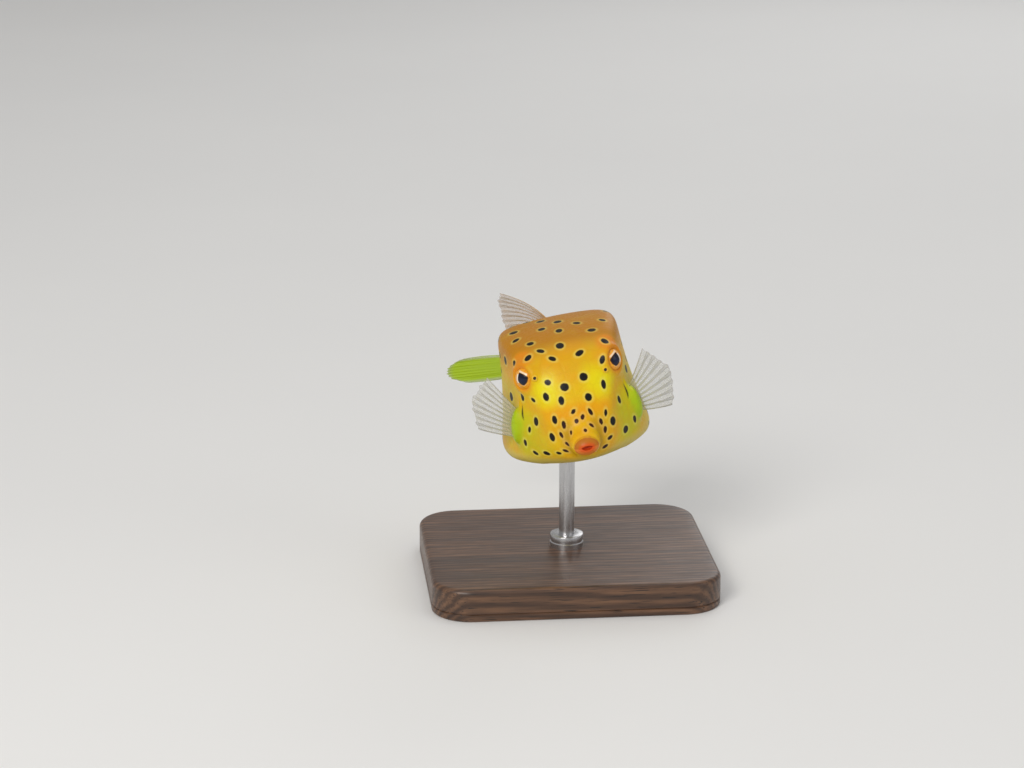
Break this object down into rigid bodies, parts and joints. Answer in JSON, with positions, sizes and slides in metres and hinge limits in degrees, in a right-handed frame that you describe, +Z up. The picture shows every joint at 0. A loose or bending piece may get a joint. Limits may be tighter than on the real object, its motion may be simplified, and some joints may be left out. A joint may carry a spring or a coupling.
{
  "type": "yellow boxfish model",
  "caption": "Life-size display model of a juvenile yellow boxfish in a banked swimming pose, tail bent to one side, held by a rod on a flat wooden stand.",
  "frame": {"origin": "centre of the stand's underside, on the surface it stands on", "axes": "+Z up, the fish faces -Y, the fish's left side is +X; the fish is banked about 11 degrees to its right"},
  "size_m": [0.044, 0.0401, 0.0431],
  "materials": {
    "skin": "satin yellow skin with dark spots",
    "lip_upper": "satin orange lip",
    "lip_lower": "satin pinkish orange lip",
    "eye": "glossy eye with dark pupil and pale iris",
    "fin": "clear greyish fin membrane with fine rays",
    "tail_skin": "satin yellow-green skin",
    "tail_fin": "lime fin with fine rays",
    "stand_wood": "satin dark walnut",
    "stand_steel": "fine brushed steel"
  },
  "bodies": {
    "root": {"head": "skin", "carapace": "skin", "upper_lip": "lip_upper", "lower_lip": "lip_lower", "eye_left": "eye", "eye_right": "eye", "pectoral_fin_left": "fin", "pectoral_fin_right": "fin", "dorsal_fin": "fin", "anal_fin": "fin", "caudal_peduncle": "tail_skin", "caudal_fin": "tail_fin", "stand_base": "stand_wood", "stand_collar": "stand_steel", "stand_rod": "stand_steel"}
  },
  "joints": []
}
